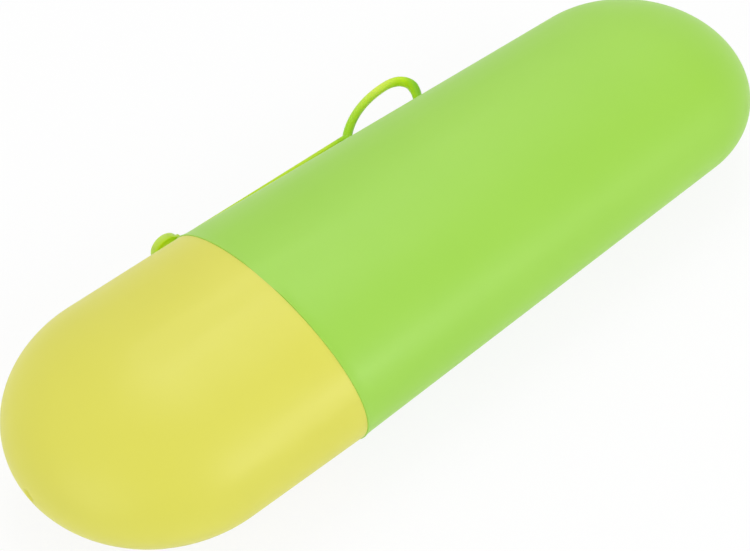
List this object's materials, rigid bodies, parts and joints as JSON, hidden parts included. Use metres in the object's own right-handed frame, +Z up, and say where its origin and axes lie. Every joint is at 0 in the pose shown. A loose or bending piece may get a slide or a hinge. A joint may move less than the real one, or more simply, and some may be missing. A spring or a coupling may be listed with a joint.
{
  "type": "toothbrush travel case",
  "caption": "Oval, round-ended travel case for a toothbrush, with a pull-off lid on a thin collar and a soft side strap that ties the lid on and forms a hanging loop.",
  "frame": {"origin": "centre of the mouth, where the edges of lid and body meet", "axes": "+X along the case to the closed end of the body, +Y across the case to the narrow side that carries the strap, +Z up, across the flat of the oval"},
  "size_m": [0.205, 0.0754, 0.0368],
  "materials": {
    "lid_plastic": "satin moulded polypropylene, pale yellow",
    "body_plastic": "satin moulded polypropylene, light green",
    "strap_rubber": "satin soft moulded elastomer, bright green"
  },
  "bodies": {
    "case_body": {"body_shell": "body_plastic", "front_anchor": "strap_rubber", "rear_anchor": "strap_rubber", "strap_tail": "strap_rubber"},
    "lid_body": {"lid_shell": "lid_plastic", "strap_button": "strap_rubber"},
    "loop_body": {"strap_loop": "strap_rubber"}
  },
  "joints": [
    {"name": "lid_slide", "type": "slide", "parent": "case_body", "child": "lid_body", "axis": [-1, 0, 0], "range_m": [0, 0.018], "deforming": ["strap_tail"]},
    {"name": "loop_tilt", "type": "hinge", "parent": "case_body", "child": "loop_body", "pos_m": [0.0645, 0.0339, 0], "axis": [1, 0, 0], "range_deg": [-75, 75], "stiffness_Nm_per_rad": 0.0006}
  ]
}
